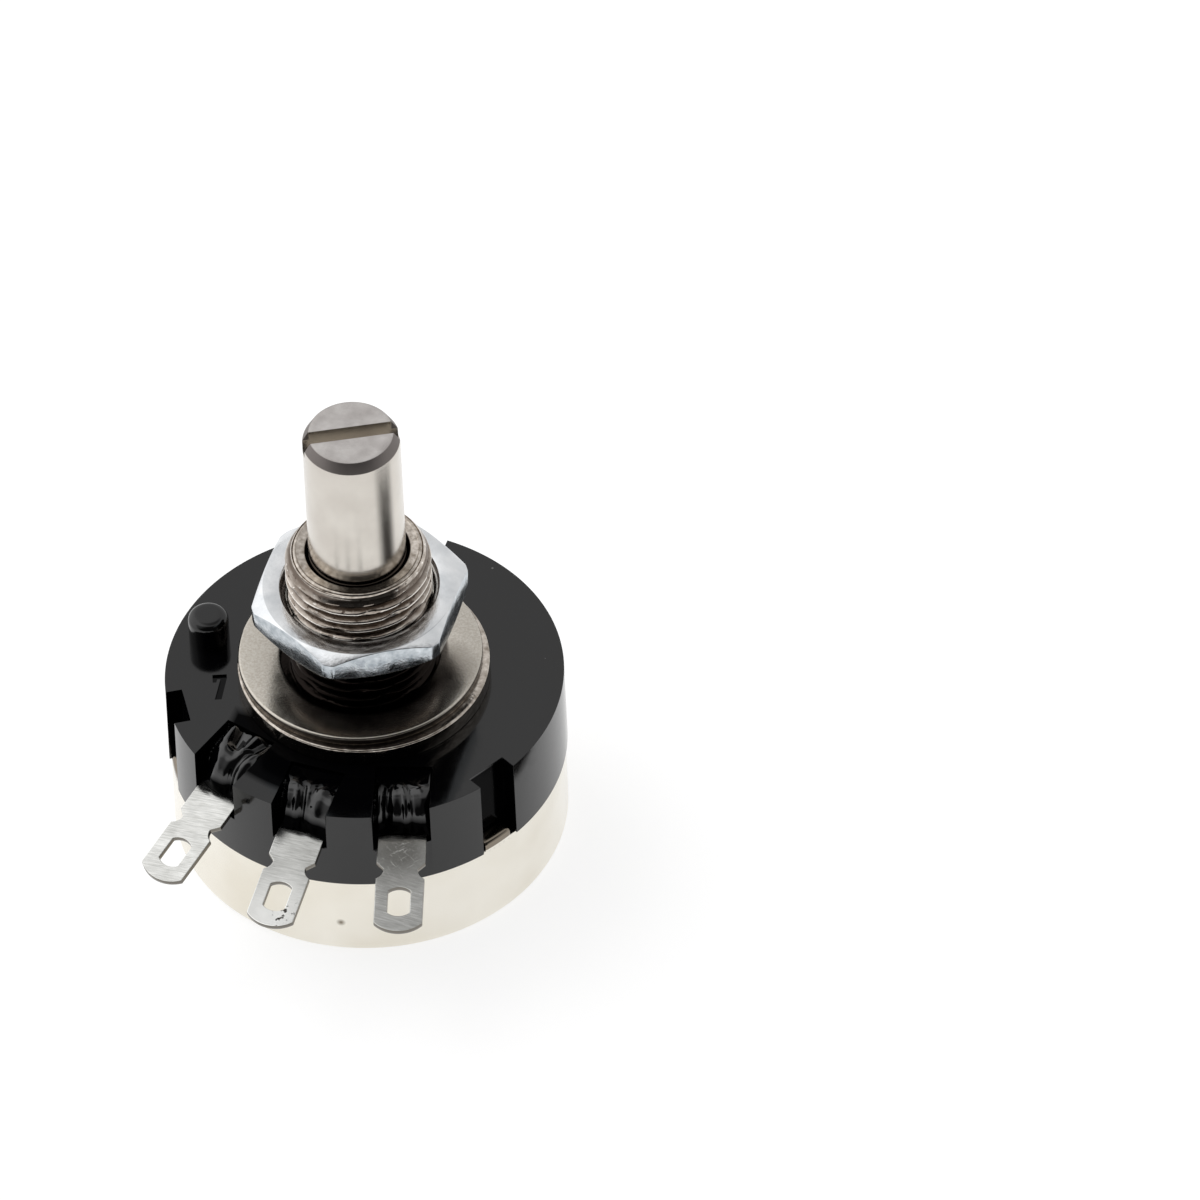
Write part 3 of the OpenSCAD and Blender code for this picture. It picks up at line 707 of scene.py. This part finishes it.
# %% [markdown]
# ## Bushing
# The bushing is turned brass with a round flange and a fine M9 x 0.75 thread. A thread is a ridge
# that climbs by its pitch in each turn, so it can be written as a height for every angle and every
# level. The barrel is turned with many thin rings, and each ring's vertices are then moved to the
# thread's own radius. The same rule trims the thread at the end's chamfer, which gives the run-out
# that a real die leaves, and wears its crests flat in places.

# %% Turn the bushing and cut its thread
def thread_radius(angle, height):
    """Radius of the thread, in mm, at an angle round the axis and a height in mm."""
    crest, flanks, depth = 0.06, 0.80, 0.44
    phase = (height / PITCH - angle / (2 * math.pi)) % 1.0
    flank = min(1.0, max(0.0, (abs(phase - 0.5) * 2 - crest) / flanks))
    ridge = THREAD_R - depth * (3 * flank ** 2 - 2 * flank ** 3)
    chamfer = THREAD_R - 0.62 * max(0.0, height - (BUSH_TOP - 0.95))
    waves = math.sin(5 * angle + 1.7 * height) + math.sin(11 * angle - 3.1 * height)
    worn = THREAD_R - 0.07 * max(0.0, waves - 0.1)
    return min(ridge, chamfer, worn)


def make_bushing():
    rings = 208
    top = BUSH_TOP - 0.22
    barrel = [(THREAD_R, MOUNT + (top - MOUNT) * k / rings) for k in range(rings + 1)]
    profile = rounded([(3.03, 9.05), (5.1, 9.05, 0.1), (5.1, 9.35), (4.6, 9.35), (4.6, FACE),
                       (FLANGE_R, FACE, 0.12), (FLANGE_R, MOUNT, 0.14), (4.6, MOUNT)],
                      closed=False)
    profile += barrel + rounded([(4.0, top), (4.0, BUSH_TOP, 0.16), (3.75, top + 0.03, 0.2),
                                 (3.25, top, 0.08), (3.03, top - 0.2)], closed=False)[1:]
    bushing = lathe("bushing_piece", profile, steps=216)
    for vertex in bushing.data.vertices:
        x, y, z = (value / MM for value in vertex.co)
        radius = math.hypot(x, y)
        if abs(radius - THREAD_R) < 0.01 and z > MOUNT + 0.01:
            wanted = thread_radius(math.atan2(y, x), z)
            vertex.co.x *= wanted / radius
            vertex.co.y *= wanted / radius
    return bushing


hand_over(make_bushing(), "body", "bushing_nickel", nickel_bushing(), "bushing", angle=50)

# %% [markdown]
# ## Nut
# A hexagon nut is turned from hexagon bar: the cone of the turning tool meets the six flats in six
# curved edges. The ring is turned as a round part first. Every vertex that would stand out past a
# flat is then pulled in to it and lowered on to the cone, so the curved edges come out by
# themselves.

# %% Turn the nut and press its flats in
def make_nut():
    half, chamfer_r, trim, bearing = 6.0, 5.95, 6.75, 33
    slope = math.tan(math.radians(30))
    drop = (trim - chamfer_r) * slope
    profile = [(4.92, NUT_LOW), (chamfer_r, NUT_LOW), (trim, NUT_LOW + drop),
               (trim, NUT_HIGH - drop), (chamfer_r, NUT_HIGH), (4.92, NUT_HIGH),
               (4.55, NUT_HIGH - 0.36), (4.55, NUT_LOW + 0.36)]
    nut = lathe("hex_nut_piece", profile, steps=360)
    for vertex in nut.data.vertices:
        x, y, z = (value / MM for value in vertex.co)
        radius = math.hypot(x, y)
        if radius < chamfer_r + 0.1:
            continue
        off = (math.degrees(math.atan2(y, x)) - bearing) % 60 - 30
        flat = half / math.cos(math.radians(off))
        new = min(radius, flat)
        lower = (new - chamfer_r) * slope
        level = NUT_LOW + lower if z < (NUT_LOW + NUT_HIGH) / 2 else NUT_HIGH - lower
        vertex.co = (x / radius * new * MM, y / radius * new * MM, level * MM)
    return soften(nut, 0.07, angle=24, segments=3)


hand_over(make_nut(), "nut", "zinc_plated_steel", zinc(), "hex_nut", angle=30)

# %% [markdown]
# ## Washer
# A stamped washer has a rolled upper edge, where the punch drew the sheet in. It lies loose on the
# flange, a little to one side.

# %% Turn the washer and slide it to its place
def make_washer():
    inner, outer, top = 4.9, 7.5, MOUNT + 0.5
    profile = rounded([(inner, MOUNT, 0.05), (outer, MOUNT, 0.06), (outer, top, 0.16),
                       (inner, top, 0.12)])
    washer = lathe("flat_washer_piece", profile, steps=200)
    aside = Matrix.Rotation(math.radians(142), 4, "Z") @ Matrix.Translation((0.36 * MM, 0, 0))
    return move(washer, aside)


hand_over(make_washer(), "body", "satin_steel", satin_steel(), "flat_washer")

# %% [markdown]
# ## Housing
# Seen from the front, the moulding is a disc with three square crimp notches. Their walls run
# straight down, so the disc is drawn as one outline, walked round the rim with a detour at each
# notch, and extruded. The three channels for the terminals are milled from the front face, down to
# the level where the strips lie, and the hollow for the rotor is cut from behind. The locating peg,
# the spigot and the stop block are joined on. A small bevel gives each edge its moulded radius.

# %% Plan of the housing
def housing_outline():
    """The rim, counter-clockwise, with a rectangular detour at each notch."""
    points = []
    notch, depth, steps = 1.35, 1.1, 72
    half = math.degrees(math.asin(notch / HOUSING_R))
    for here, there in zip(NOTCH_TURNS, NOTCH_TURNS[1:] + (NOTCH_TURNS[0] + 360,)):
        out = Vector((math.cos(math.radians(here)), math.sin(math.radians(here))))
        side = Vector((-out.y, out.x)) * notch
        back = out * (HOUSING_R - depth)
        points += [tuple(back - side), tuple(back + side)]
        for k in range(steps + 1):
            turn_to = math.radians(here + half + (there - here - 2 * half) * k / steps)
            points.append((HOUSING_R * math.cos(turn_to), HOUSING_R * math.sin(turn_to)))
    return points


print("corners of the plan:", len(housing_outline()))


# %% Cutters for the channels
def channel_cutters(fan):
    """A level box down to the strip, and a second one that slopes off with the strip."""
    near, bend, half = along(ROOT_R, fan), along(BEND_R, fan), 1.75
    level = plate("channel", [(near, -half), (near + 8, -half), (near + 8, half), (near, half)],
                  CEILING - 0.02, FACE + 1)
    slope = plate("slope", [(0, -half), (4, -half), (4, half), (0, half)], -0.42, 2)
    move(slope, Matrix.Translation((bend * MM, 0, (CEILING + SHEET) * MM))
         @ Matrix.Rotation(SLOPE, 4, "Y"))
    return [move(cutter, strip_frame(fan)) for cutter in (level, slope)]


# %% Extrude the housing, mill it and add what stands on it
def make_housing():
    housing = plate("housing_piece", housing_outline(), SEAM, FACE)
    for fan in FANS:
        for cutter in channel_cutters(fan):
            cut(housing, cutter)
    soften(housing, 0.1, angle=45, segments=3)
    cut(housing, lathe("chamber", [(10.4, SEAM - 1), (10.4, CEILING)], closed=False, steps=96))
    cut(housing, lathe("bushing_hole", [(4.62, 9), (4.62, 13)], closed=False, steps=96))
    seven = plate("cavity_figure", [(-0.44, 1.05), (0.44, 1.05), (0.44, 0.72), (0.06, -1.05),
                                    (-0.36, -1.05), (0.04, 0.66), (-0.16, 0.66), (-0.22, 0.4),
                                    (-0.44, 0.4)], FACE - 0.148, 13)
    cut(housing, move(seven, Matrix.Translation((-8.06 * MM, -3.75 * MM, 0))
                      @ Matrix.Rotation(azimuth, 4, "Z")))
    spigot = lathe("spigot", rounded([(10.4, 4.5), (11.55, 4.5, 0.1), (11.55, SEAM + 0.02),
                                      (11.1, SEAM + 0.02), (11.1, CEILING - 0.05),
                                      (10.4, CEILING - 0.05)]))
    block = lathe("stop_block", [(9.1, 5.4), (10.45, 5.4), (10.45, 7.6), (9.1, 7.6)],
                  steps=24, angle=math.radians(39.4), start=math.radians(-109.7))
    peg = lathe("peg", rounded([(1.25, FACE - 0.3), (1.25, FACE + 2.1, 0.5), (0.5, FACE + 2.1)],
                               closed=False, segments=8), closed=False, steps=64)
    move(peg, Matrix.Translation((-10.1 * MM, 0, 0)))
    return join(housing, spigot, block, peg)


hand_over(make_housing(), "body", "black_phenolic", phenolic(), "housing", angle=35)

# %% [markdown]
# ## Rear cover
# The cover is a shallow cup drawn from sheet. Its edge at the back is rounded by the drawing die.
# Three tabs stand up from its rim and are bent in over the housing. The cup is turned, and each tab
# is a short turned piece of the same wall, spun through ten degrees only. The plain pin numbers
# are pressed in at the back.

# %% Draw the cup and its tabs
def make_cover():
    inner, marks_r = COVER_R - 0.5, 8.9
    cup = lathe("rear_cover_piece", rounded([
        (1.0, 0), (COVER_R, 0, 0.8), (COVER_R, SEAM, 0.08), (inner, SEAM, 0.08),
        (inner, 0.5, 0.3), (1.0, 0.5)], segments=6), steps=200)
    tabs = []
    for degrees in NOTCH_TURNS:
        tab = lathe("tab", rounded([
            (inner, SEAM - 0.3), (COVER_R, SEAM - 0.3), (COVER_R, SEAM + 0.55, 0.35),
            (11.25, SEAM + 0.72), (11.25, SEAM + 0.3), (inner, SEAM + 0.2)]),
            steps=8, angle=math.radians(9.6), start=math.radians(degrees - 5.2))
        tabs.append(soften(tab, 0.07, angle=50, segments=2))
    for number, bearing in ((1, -106.4), (2, -90), (3, -73.6)):
        turned = math.radians(bearing)
        spot = (marks_r * math.cos(turned), marks_r * math.sin(turned))
        cut(cup, figure("pin_mark", str(number), (-1.1, 1.6), spot, bearing + 90, -0.5, 0.06))
    return join(cup, *tabs)


hand_over(make_cover(), "body", "cover_nickel", cover_nickel(), "rear_cover")

# %% [markdown]
# ## Terminals
# The three solder lugs are the same stamping: a plain root, a waist with a rounded shoulder, and an
# arched tip with an oblong eye. The outline is drawn flat, extruded to 0.4 mm and softened. It is
# then bent down where it leaves the housing, by 15, 14 and 12 degrees for terminals 1, 2 and 3,
# and laid on its own line of the fan.

# %% Outline of a terminal
def blade_outline(root, bend, hole):
    """Half outline from the root, mirrored; x runs along the strip from the fan's apex."""
    waist, side, tip, length = 1.05, 1.5, 0.6, 1.52
    scallop, sweep = 0.694, 69.4
    half = [(root, side), (hole - 2.78, side)]
    for k in range(7):
        angle = math.radians(-90 + sweep * k / 6)
        half.append((hole - 2.33 + scallop * math.cos(angle),
                     waist + scallop + scallop * math.sin(angle)))
    radius = (side ** 2 + tip ** 2) / (2 * tip)
    edge = math.asin(side / radius)
    for k in range(9):
        angle = edge * (1 - k / 8)
        half.append((hole + length + tip - radius + radius * math.cos(angle),
                     radius * math.sin(angle)))
    return half + [(x, -y) for x, y in reversed(half[:-1])]


def eye_outline(hole, steps=10):
    """The oblong eye: a circle of 2.06 mm cut to 1.38 mm across."""
    radius, half = 1.03, 0.69
    edge = math.asin(half / radius)
    arc = [edge * (2 * k / steps - 1) for k in range(steps + 1)]
    points = [(hole + radius * math.cos(a), radius * math.sin(a)) for a in arc]
    return points + [(2 * hole - x, -y) for x, y in points]


# %% Stamp, bend and place each terminal
def make_terminal(number, fan, tilt):
    root, bend = along(ROOT_R + 0.15, fan), along(BEND_R, fan)
    hole = bend + (along(EYE_R, fan) - bend) / math.cos(SLOPE)
    blade = plate("terminal_%d_piece" % number, blade_outline(root, bend, hole),
                  CEILING, CEILING + SHEET)
    cut(blade, plate("eye", eye_outline(hole), 9, 10))
    soften(blade, 0.055, angle=45, segments=2)
    only(blade)
    bpy.ops.object.mode_set(mode="EDIT")
    for k in range(-3, 4):
        bpy.ops.mesh.select_all(action="SELECT")
        bpy.ops.mesh.bisect(plane_co=((bend + k * 0.1) * MM, 0, 0), plane_no=(1, 0, 0))
    bpy.ops.object.mode_set(mode="OBJECT")
    radius, middle = 1.15, CEILING + SHEET / 2
    limit = math.radians(tilt)
    for vertex in blade.data.vertices:
        past = vertex.co.x / MM - (bend - radius * limit / 2)
        if past > 0:
            angle = min(past / radius, limit)
            rest = max(0.0, past - radius * limit)
            lift = vertex.co.z / MM - middle
            x = (radius + lift) * math.sin(angle) + rest * math.cos(angle)
            z = (radius + lift) * math.cos(angle) - radius - rest * math.sin(angle)
            vertex.co.x = (bend - radius * limit / 2 + x) * MM
            vertex.co.z = (middle + z) * MM
    return move(blade, strip_frame(fan))


tin = tinned_brass()
for number, fan, tilt in zip((1, 2, 3), FANS, (15, 14, 12)):
    hand_over(make_terminal(number, fan, tilt), "body", "tinned_brass", tin,
              "terminal_%d" % number)

# %% [markdown]
# ## Sealing resin
# Resin was pressed into each channel over the terminal's root. It shrank away from the walls and
# set in thick folds that run outwards along the strip and down its steep front. The measured solid
# is remeshed into small even faces; each fold is then a soft ridge across the strip, given by its
# place, breadth, height and slant, and the vertices are moved out along their normals.

# %% The folds of each seal: place across, breadth, height and slant, in mm
FOLDS = {
    1: [(-1.75, 0.36, -0.80, 0.00), (-0.85, 0.44, 0.20, 0.20), (-0.10, 0.32, -0.16, 0.30),
        (0.60, 0.46, 0.26, -0.10), (1.20, 0.26, -0.18, -0.30), (1.65, 0.30, 0.16, -0.30)],
    2: [(-1.75, 0.26, -0.60, 0.00), (-1.00, 0.22, 0.12, 0.25), (-0.55, 0.16, -0.14, 0.20),
        (-0.05, 0.26, 0.16, 0.15), (0.50, 0.22, -0.14, -0.15), (1.15, 0.36, 0.14, -0.25)],
    3: [(-1.75, 0.24, -0.60, 0.00), (-1.35, 0.16, 0.16, -0.10), (-0.85, 0.26, -0.34, -0.05),
        (-0.20, 0.20, 0.14, 0.22), (0.20, 0.16, -0.10, 0.20), (0.75, 0.34, 0.15, 0.30)],
}


def fold_height(number, x, y, near):
    """Sum of the ridges at a place on the strip; x counts outwards from near."""
    height = 0.0
    for where, breadth, rise, slant in FOLDS[number]:
        off = (y - where - slant * (x - near - 1.5)) / breadth
        height += rise * math.exp(-off * off)
    front = 1.0 if number == 1 else min(1.0, max(0.0, (x - near - 0.9) / 1.3))
    return height * front + 0.03 * math.sin(2.2 * x + 1.3 * y + number)


# %% Cast the resin
def make_seal(number, fan):
    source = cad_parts["terminal_seal_%d" % number]
    seal = bpy.data.objects.new("terminal_seal_%d_piece" % number, source.data.copy())
    bpy.context.collection.objects.link(seal)
    move(seal, source.matrix_world)
    only(seal)
    bpy.ops.object.mode_set(mode="EDIT")
    weld()
    bpy.ops.object.mode_set(mode="OBJECT")
    apply(seal, "REMESH", mode="VOXEL", voxel_size=0.065 * MM)
    apply(seal, "SMOOTH", factor=0.6, iterations=10)
    move(seal, strip_frame(fan).inverted())
    near = along(ROOT_R, fan)
    normals = [vertex.normal.copy() for vertex in seal.data.vertices]
    for vertex, normal in zip(seal.data.vertices, normals):
        x, y, z = (value / MM for value in vertex.co)
        free = min(1.0, max(0.0, (z - 9.85) / 0.5)) * max(0.0, normal.x + normal.z)
        rise = min(1.0, free) * fold_height(number, x, y, near)
        reach = 0.10 * math.sin(1.9 * y + 2.1 * number) * min(1.0, max(0.0, (x - near - 1.2)))
        lean = 0.42 * min(2.0, max(0.0, z - 9.8)) * min(1.0, max(0.0, (x - near - 1.3) / 1.2))
        slant = 0.12 * y * min(1.0, max(0.0, x - near - 2.0)) * (-1 if number == 3 else 1)
        vertex.co.x += (max(0.0, normal.x) * rise + reach - lean + slant) * MM
        vertex.co.z += (max(0.0, normal.z) * rise + 0.05 * free) * MM
    apply(seal, "SMOOTH", factor=0.5, iterations=3)
    return move(seal, strip_frame(fan))


poured = resin()
for number, fan in zip((1, 2, 3), FANS):
    hand_over(make_seal(number, fan), "body", "sealing_resin", poured,
              "terminal_seal_%d" % number, angle=80)

# %% [markdown]
# ## Table and light
# The object stands on a white table in a white tent. The tent is open towards the photographer, so
# whatever faces the camera squarely, such as a chamfer, mirrors a dark gap. That contrast is what
# makes plated metal look like metal. The table adds a light of its own where the
# camera or a reflection sees it, which makes it read as white and still lets it hold a shadow. A
# black card beside the object draws the dark stripe along the shaft. Its sides are soft, and only
# reflections that look steeply down see it, so that it marks nothing else.

# %% Table
def bare(holder):
    """The empty node tree of a material or a world, to build on."""
    holder.use_nodes = True
    holder.node_tree.nodes.clear()
    return holder.node_tree


def plane(name, size):
    """A flat square at the origin."""
    bpy.ops.object.select_all(action="DESELECT")
    bpy.ops.mesh.primitive_plane_add(size=size)
    made = bpy.context.object
    made.name = name
    return made


WHITE = (1, 1, 1, 1)
table = plane("white_table", 3.0)
paper = bpy.data.materials.new("white_paper")
fibres = bare(paper)
rays = add(fibres, "ShaderNodeLightPath").outputs
by_eye = calc(fibres, "MAXIMUM", rays["Is Camera Ray"], rays["Is Glossy Ray"])
by_any = calc(fibres, "MAXIMUM", by_eye, rays["Is Transmission Ray"])
own = calc(fibres, "MULTIPLY", by_any, 0.78)
glow = add(fibres, "ShaderNodeEmission", {"Color": WHITE, "Strength": own})
matt = add(fibres, "ShaderNodeBsdfDiffuse", {"Color": (0.36, 0.36, 0.36, 1)})
lit = add(fibres, "ShaderNodeAddShader", {0: glow.outputs[0], 1: matt.outputs[0]})
add(fibres, "ShaderNodeOutputMaterial", {"Surface": lit.outputs[0]})
table.data.materials.append(paper)

# %% The tent, with its dark opening on the photographer's side
world = bpy.data.worlds.new("white_tent")
bpy.context.scene.world = world
sky = bare(world)
way = add(sky, "ShaderNodeTexCoord").outputs["Generated"]


def toward(direction, none, full):
    """0 to 1: how far a direction of view leans towards the given one, between two cosines."""
    dot = add(sky, "ShaderNodeVectorMath", {0: way, 1: direction.normalized()},
              operation="DOT_PRODUCT").outputs["Value"]
    return add(sky, "ShaderNodeMapRange", {"Value": dot, "From Min": none, "From Max": full},
               interpolation_type="SMOOTHSTEP").outputs[0]


# A dark gap behind the photographer, a bright window at the left and a dark arm overhead.
band = calc(sky, "MULTIPLY", toward(up, 0.50, 0.28), toward(-up, 0.82, 0.62))
gap = calc(sky, "MULTIPLY", band, toward(-forward, 0.35, 0.65))
window = toward(turn @ Vector((-1.0, 0.25, 0.75)), 0.47, 0.94)
arm = toward(turn @ Vector((0.10, 0.26, 0.97)), 0.90, 0.985)
level = calc(sky, "MULTIPLY_ADD", window, 0.55, 0.80)
level = calc(sky, "MULTIPLY_ADD", gap, -0.76, level)
level = calc(sky, "MULTIPLY_ADD", arm, -0.50, level)
by_camera = add(sky, "ShaderNodeLightPath").outputs["Is Camera Ray"]
tent = add(sky, "ShaderNodeBackground", {"Color": WHITE, "Strength": level})
wall = add(sky, "ShaderNodeBackground", {"Color": WHITE, "Strength": 1.0})
pick = add(sky, "ShaderNodeMixShader", {0: by_camera, 1: tent.outputs[0], 2: wall.outputs[0]})
add(sky, "ShaderNodeOutputWorld", {"Surface": pick.outputs[0]})


# %% A soft lamp for the shadow, which metal doesn't mirror, and a card for the shaft's stripe
def velvet():
    """Black cloth with soft sides, clear to every ray but a reflection that looks steeply down."""
    made = bpy.data.materials.new("black_velvet")
    tree = bare(made)
    cloth = add(tree, "ShaderNodeBsdfDiffuse", {"Color": (0.045, 0.042, 0.038, 1)})
    clear = add(tree, "ShaderNodeBsdfTransparent")
    steep = part_of(tree, add(tree, "ShaderNodeNewGeometry").outputs["Incoming"], "Z")
    across = part_of(tree, add(tree, "ShaderNodeTexCoord").outputs["Generated"], "X")
    sides = (between(tree, across, 0.0, 0.35), between(tree, across, 1.0, 0.65))
    dark = calc(tree, "MULTIPLY", between(tree, steep, 0.52, 0.60), calc(tree, "MINIMUM", *sides))
    mixed = add(tree, "ShaderNodeMixShader", {0: dark, 1: clear.outputs[0], 2: cloth.outputs[0]})
    add(tree, "ShaderNodeOutputMaterial", {"Surface": mixed.outputs[0]})
    return made


def black_card(bearing, away, width, height):
    """An upright card beside the object, which only reflections see; sizes in mm."""
    card = plane("black_card", 1)
    shape = Matrix.Diagonal((width * MM, height * MM, 1, 1))
    upright = Matrix.Rotation(math.radians(90), 4, "X")
    stand = Matrix.Translation((0, -away * MM, height * MM / 2))
    around = turn.to_4x4() @ Matrix.Rotation(math.radians(bearing), 4, "Z")
    card.data.transform(around @ stand @ upright @ shape)
    card.visible_camera = False
    card.visible_shadow = False
    card.visible_diffuse = False
    card.data.materials.append(velvet())
    return card


lamp_data = bpy.data.lights.new("tent_lamp", "AREA")
lamp_data.size = 0.30
lamp_data.energy = 0.45
lamp = bpy.data.objects.new("tent_lamp", lamp_data)
bpy.context.collection.objects.link(lamp)
lamp.location = turn @ Vector((-0.22, 0.20, 0.34))
lamp.rotation_euler = (Vector((0, 0, 0.012)) - lamp.location).to_track_quat("-Z", "Y").to_euler()
lamp.visible_glossy = False
black_card(72, 21, 20, 13)
bpy.context.scene.view_settings.view_transform = "Standard"
